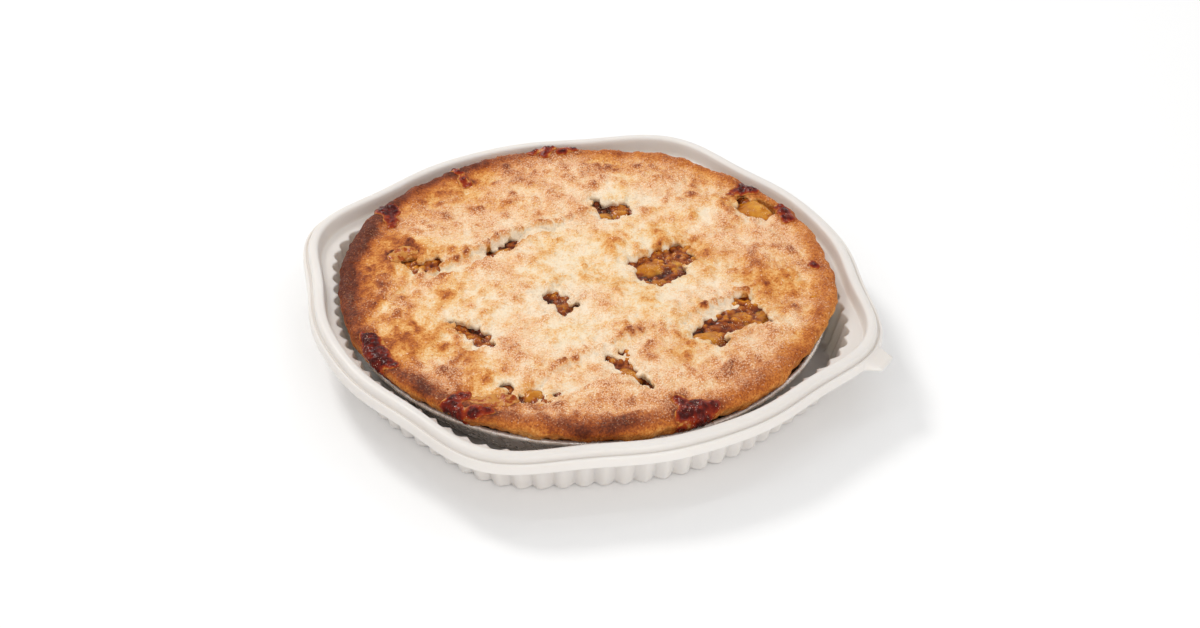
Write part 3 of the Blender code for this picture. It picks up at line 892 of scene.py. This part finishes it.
def build_juice():
    points, faces, thick = [], [], []
    start = 0
    for name, group in LEAKS.items():
        share = FILM_SHARE if "gold" in name else 1.0
        spots = np.array(group)
        low = (spots[:, :2] - spots[:, 2:]).min(0) - (3, 9)
        high = (spots[:, :2] + spots[:, 2:]).max(0) + (3, 4)
        gx = np.arange(low[0], high[0], JUICE_CELL)
        gy = np.arange(low[1], high[1], JUICE_CELL)
        x, y = (a.ravel() for a in np.meshgrid(gx, gy))
        order = np.arange(len(x)).reshape(len(gy), len(gx))
        d = -leak_distance(x, y, (group,))
        table, cut_faces, cuts = clip_grid(grid_quads(order), d, np.column_stack([x, y, d]))
        x, y, d = table.T
        on_cut = np.zeros(len(x), bool)
        on_cut[[k for cut in cuts for k in cut]] = True
        h, _ = relief(x, y)
        bubble, pick = cells(x, y, 1.9, 100)
        lump = dome(bubble, 0.6) * (0.3 + pick) * share ** 0.5
        rise = 0.5 * np.sqrt(np.clip(d / 2.0, 0, 1)) + 0.5 * lump * ramp(d, 0, 1.2)
        rise = np.where(on_cut, -0.15, rise - 0.3 * ramp(d, -0.5, 1))
        top = place(x - PIE_X, y - PIE_Y, h + rise)
        bottom = place(x - PIE_X, y - PIE_Y, h - 1.2 * ramp(d, -0.1, 0.8) - 0.15)
        inner = ~on_cut
        under = np.arange(len(x))
        under[inner] = np.arange(inner.sum()) + len(x)
        faces += [[start + k for k in f] for f in cut_faces]
        faces += [[start + int(under[k]) for k in reversed(f)] for f in cut_faces]
        points.append(np.concatenate([top, bottom[inner]]))
        outward = ramp(np.hypot(x - PIE_X, y - PIE_Y), 84, 97)
        depth = share * ramp(d, -0.4, 2.2) * (0.25 + 0.30 * lump + 0.5 * outward)
        thick.append(np.concatenate([depth, np.ones(inner.sum())]))
        start += len(points[-1])
    kept = {}
    for f in faces:
        kept.setdefault(tuple(sorted(f)), f)
    points, values = np.concatenate(points), {"thick": np.concatenate(thick)}
    return make_piece("boiled_over_juice", points, list(kept.values()), juice_material(), values)


# Sugar --------------------------------

SUGAR_GRAINS = 16000
SUGAR_R = 102
GRAIN_HALF = (0.14, 0.28)  # least and greatest half side of a grain


def sugar_material():
    look = Look("sugar_grains", IOR=1.5, Specular_IOR_Level=0.35)
    tone = look.math("ADD", look.value("browning"), look.spread(look.noise(0.9), 0.3, 0.7, -0.12, 0.12))
    tint = look.colours(tone, (
        (0.1, (255, 236, 210)), (0.45, (251, 213, 174)), (0.75, (216, 155, 112)), (1.0, (146, 88, 56)),
    ))
    return look.wear(tint, look.spread(look.noise(0.9), 0.3, 0.7, 0.35, 0.6))


BOX_FACES = ((0, 2, 3, 1), (4, 5, 7, 6), (0, 1, 5, 4), (2, 6, 7, 3), (0, 4, 6, 2), (1, 3, 7, 5))


def build_sugar():
    rng = np.random.default_rng(SEED)
    tries = SUGAR_GRAINS * 5
    s = SUGAR_R * np.sqrt(rng.random(tries))
    angle = rng.random(tries) * 2 * math.pi
    x, y = s * np.cos(angle), s * np.sin(angle)
    px, py = x + PIE_X, y + PIE_Y
    clump = 0.5 + 0.5 * layers(px, py, 5, 120, 2)
    want = rng.random(tries) < (0.03 + 0.97 * sugar_share(px, py) ** 1.6) * np.clip(clump, 0, 1)
    clear = (opening_distance(px, py) > 0.8) & (leak_distance(px, py) > 0.3)
    pick = np.flatnonzero(want & clear)[:SUGAR_GRAINS]
    x, y, px, py = x[pick], y[pick], px[pick], py[pick]
    h, shares = relief(px, py)
    tone = np.repeat(browning(px, py, shares), 8)
    middle = place(x, y, h + 0.06)
    count = len(x)
    corners = np.array([(a, b, c) for c in (-1, 1) for b in (-1, 1) for a in (-1, 1)], float)
    half = rng.uniform(*GRAIN_HALF, (count, 1, 3)) * np.ones((1, 8, 1))
    body = corners * half * rng.uniform(0.75, 1.0, (count, 8, 1))
    spin = rng.normal(size=(count, 4))
    spin /= np.linalg.norm(spin, axis=1)[:, None]
    w, i, j, k = spin.T
    turn = np.stack([
        np.stack([1 - 2 * (j * j + k * k), 2 * (i * j - k * w), 2 * (i * k + j * w)], -1),
        np.stack([2 * (i * j + k * w), 1 - 2 * (i * i + k * k), 2 * (j * k - i * w)], -1),
        np.stack([2 * (i * k - j * w), 2 * (j * k + i * w), 1 - 2 * (i * i + j * j)], -1),
    ], 1)
    points = middle[:, None, :] + body @ np.swapaxes(turn, 1, 2)
    points[:, :, 2] = np.minimum(points[:, :, 2], PIE_TOP)
    faces = (np.array(BOX_FACES)[None] + 8 * np.arange(count)[:, None, None]).reshape(-1, 4).tolist()
    values = {"browning": tone}
    points = points.reshape(-1, 3)
    return make_piece("sugar_grains", points, faces, sugar_material(), values, smooth=False)


# Foil tin -----------------------------

TIN_STEPS = 900
TIN_SHEET, TIN_ROLL = 0.35, 1.1  # the wall's thickness and the rolled rim's radius
TIN_FOOT_R = TIN_R - 15.0


def foil_material():
    look = Look("tin_foil", Metallic=0.55, Base_Color=linear((244, 240, 234)))
    dent = look.bump(look.noise(1.8, 4.0, 0.6), 0.6, 0.8)
    rough = look.spread(look.noise(5.0), 0.3, 0.7, 0.2, 0.34)
    tint = look.colours(look.noise(3.0), ((0.35, (240, 231, 222)), (0.65, (254, 251, 247))))
    return look.wear(tint, rough, Normal=dent)


def build_tin():
    angle = np.linspace(0, 2 * math.pi, TIN_STEPS, endpoint=False)
    rim = TIN_R - 0.15 - TIN_ROLL
    height = TIN_TOP - TIN_ROLL
    fold_at = angle * 20

    def wall(share, side):
        """A ring of the wall at a share of its height; side is 1 outside and 0 inside."""
        fold = noise(fold_at, 0 * angle, 0.34, 110)
        fold = fold + 0.5 * noise(fold_at, share * 3 + 0 * angle, 0.15, 111)
        deep = 0.75 * math.sin(math.pi * min(1.0, share * 1.02)) ** 0.6 * fold
        r = TIN_FOOT_R + (rim - TIN_ROLL - TIN_FOOT_R) * share + deep + side * TIN_SHEET
        return r, TIN_FLOOR + TIN_SHEET + (height - TIN_ROLL - TIN_FLOOR) * share

    def flat(inset, z):
        """A plain ring of the tin's floor."""
        return np.full(TIN_STEPS, TIN_FOOT_R - inset), TIN_FLOOR + z

    rings = [flat(3.5, TIN_SHEET), flat(1.0, TIN_SHEET + 0.3)]
    shares = np.linspace(0.06, 0.97, 9)
    rings += [wall(s, 0) for s in shares]
    wave = 0.16 * noise(angle * 60, 0 * angle, 1.0, 113)
    for a in np.radians(np.linspace(170, -160, 12)):
        rings.append((rim + wave + TIN_ROLL * math.cos(a), height + TIN_ROLL * math.sin(a)))
    rings += [wall(s, 1) for s in shares[::-1]]
    rings += [flat(0.8, 0.25), flat(3.2, 0.0)]
    points, faces = turned_shell(angle, rings, PIE_X, PIE_Y)
    return face_outward(make_piece("foil_tin_shell", points, faces, foil_material()))


# Tray ---------------------------------

TRAY_STEPS = 1120
CORNER = math.radians(-17.6)
BEAD = 112.8
BEAD_LOBES = ((4, 3.91), (8, 2.27), (12, 0.85))
WALL_TOP, WALL_BASE = 104.2, 100.2
TOP_SHARE, BASE_SHARE = 0.68, 0.62  # how far the wall follows the bead's lobes
FLUTES = 80
TOP_FLUTE, BASE_FLUTE = 2.1, 2.8
LEDGE_DROP = 6.5
TAB_ROOTS, TAB_TIPS, TAB_LENGTH = (-24.9, -17.9), (-23.2, -19.1), 6.0


def plastic_material():
    look = Look("tray_plastic", IOR=1.49, Specular_IOR_Level=0.4, Subsurface_Weight=0.4,
                Subsurface_Scale=0.004, Subsurface_Radius=(1.0, 0.9, 0.75))
    cloud = look.colours(look.noise(40.0, 2.0), ((0.3, (224, 217, 211)), (0.7, (230, 224, 218))))
    rough = look.spread(look.noise(6.0), 0.3, 0.7, 0.34, 0.46)
    return look.wear(cloud, rough, Normal=look.bump(look.noise(1.6, 2.0), 0.05, 0.4))


def build_tray():
    angle = np.linspace(0, 2 * math.pi, TRAY_STEPS, endpoint=False)
    turn = angle - CORNER
    lobes = sum(depth * np.cos(waves * turn) for waves, depth in BEAD_LOBES)
    flute = 2 * np.abs(np.cos(FLUTES * turn / 2)) - 1
    degrees = (np.degrees(angle) + 180) % 360 - 180
    tab = ramp(degrees, TAB_ROOTS[0], TAB_TIPS[0]) * ramp(degrees, TAB_ROOTS[1], TAB_TIPS[1])
    tab = tab * TAB_LENGTH
    top = BEAD_Z

    def rim(offset, z, with_tab=0.0):
        return BEAD + lobes + offset - 0.1 + with_tab * tab, z + 0 * angle

    def wall(radius, z, depth=1.0):
        up = min(1.0, z / (BEAD_Z - LEDGE_DROP))
        share = BASE_SHARE + (TOP_SHARE - BASE_SHARE) * up
        flute_depth = BASE_FLUTE + (TOP_FLUTE - BASE_FLUTE) * up
        return radius + share * lobes + depth * flute_depth / 2 * flute, z + 0 * angle

    low_in, ledge = WALL_BASE - 1.2, top - LEDGE_DROP
    path = [
        wall(low_in - 2.5, 0.9, 0.9), wall(low_in - 0.3, 1.1), wall(low_in + 0.4, 2.2),
        wall(WALL_TOP - 0.35, ledge - 1.2), wall(WALL_TOP - 0.1, ledge),
        wall(WALL_TOP + 1.0, ledge + 0.05, 0.85),
        rim(-4.3, ledge), rim(-3.8, ledge + 0.2), rim(-3.2, top - 1.2), rim(-2.4, top), rim(0.2, top),
        rim(1.2, top - 0.7), rim(1.6, top - 3.0), rim(2.0, top - 3.5), rim(2.5, top - 2.8),
        rim(3.1, top - 2.6), rim(3.6, top - 3.2),
        rim(3.8, top - 6.3, 1.0), rim(3.8, top - 7.1, 1.0),
        rim(2.9, top - 7.1), rim(2.6, top - 4.4), rim(1.0, top - 4.2), rim(-0.2, top - 1.1),
        rim(-2.2, top - 1.1), rim(-2.6, ledge - 0.8), wall(WALL_TOP + 1.9, ledge - 0.9, 0.9),
        wall(WALL_TOP + 0.95, ledge - 1.0), wall(WALL_TOP + 0.7, ledge - 2.0),
        wall(WALL_BASE + 0.9, 2.4), wall(WALL_BASE - 0.6, 0.35), wall(WALL_BASE - 2.5, 0.0, 0.9),
    ]
    radius = rounded([p[0] for p in path], 1)
    height = rounded([p[1] for p in path], 1)
    points, faces = turned_shell(angle, list(zip(radius, height)))
    return face_outward(make_piece("plastic_tray", points, faces, plastic_material()))


# Floor, light and camera --------------


def build_floor():
    mesh = bpy.data.meshes.new("floor")
    far = 6.0
    mesh.from_pydata([(-far, -far, 0), (far, -far, 0), (far, far, 0), (-far, far, 0)], [], [(0, 1, 2, 3)])
    look = Look("floor_white", Base_Color=linear((253, 253, 253)), Roughness=0.9, Specular_IOR_Level=0.0)
    mesh.materials.append(look.material)
    floor = add_object("floor", mesh)


def area_light(name, place_at, size, power, colour=(1, 1, 1)):
    data = bpy.data.lights.new(name, "AREA")
    data.shape = "DISK"
    data.size = size
    data.energy = power
    data.color = colour
    light = add_object(name, data)
    light.location = place_at
    aim = -light.location.normalized()
    light.rotation_euler = aim.to_track_quat("-Z", "Y").to_euler()


# Each lamp's place, size in metres, power in watts and colour.
KEY_LAMP = ((-0.62, 0.64, 0.96), 0.34, 5.3, (1.0, 0.99, 0.97))
FILL_LAMP = ((0.35, -1.0, 0.32), 0.8, 3.2)
WORLD_LIGHT = 0.71
# Small lamps that only add bright points to what is wet or metal.
GLINTS = ((0.05, 1.0, 0.75), (-0.35, -0.1, 1.05), (0.55, 0.35, 0.95), (-0.45, -0.8, 0.8))
GLINT_SIZE, GLINT_POWER = 0.045, 0.35


def build_light():
    world = bpy.data.worlds.new("studio")
    bpy.context.scene.world = world
    world.use_nodes = True
    background = world.node_tree.nodes["Background"]
    background.inputs["Color"].default_value = (1.0, 1.0, 1.0, 1.0)
    background.inputs["Strength"].default_value = WORLD_LIGHT
    area_light("key", *KEY_LAMP)
    area_light("fill", *FILL_LAMP)
    for number, place_at in enumerate(GLINTS):
        area_light(f"glint_{number}", place_at, GLINT_SIZE, GLINT_POWER)


LENS, SENSOR, CLIP_START = 71.07, 36.0, 0.05
CAMERA_TILT = math.radians(35.24)
CAMERA_ROLL = math.radians(0.88)
CAMERA_SIDE, CAMERA_UP, CAMERA_FAR = 5.6, -14.2, 972.6


def build_camera():
    side = np.array([1.0, 0.0, 0.0])
    up = np.array([0.0, math.sin(CAMERA_TILT), math.cos(CAMERA_TILT)])
    ahead = np.array([0.0, math.cos(CAMERA_TILT), -math.sin(CAMERA_TILT)])
    eye = np.array([0, 0, BEAD_Z]) + CAMERA_SIDE * side + CAMERA_UP * up - CAMERA_FAR * ahead
    data = bpy.data.cameras.new("camera")
    data.lens = LENS
    data.sensor_width = SENSOR
    data.clip_start = CLIP_START
    camera = add_object("camera", data)
    axes = Matrix((side, up, -ahead)).transposed().to_4x4()
    camera.matrix_world = Matrix.Translation(eye * MM) @ axes @ Matrix.Rotation(CAMERA_ROLL, 4, "Z")
    bpy.context.scene.camera = camera


# Everything together ------------------

pastry = build_pastry()
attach(pastry, "root")
strips = [f"lattice_{kind}_{k}" for kind in ("under", "over") for k in range(1, 5)]
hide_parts("bottom_crust", *strips)

filling = build_filling()
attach(filling, "root")
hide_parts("filling")

juice = build_juice()
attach(juice, "root")

sugar = build_sugar()
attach(sugar, "root")

tin = build_tin()
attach(tin, "root")
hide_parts("foil_tin")

tray = build_tray()
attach(tray, "root")
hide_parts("tray")

build_floor()
build_light()
build_camera()
bpy.context.scene.view_settings.view_transform = "Standard"
bpy.context.scene.view_settings.look = "None"
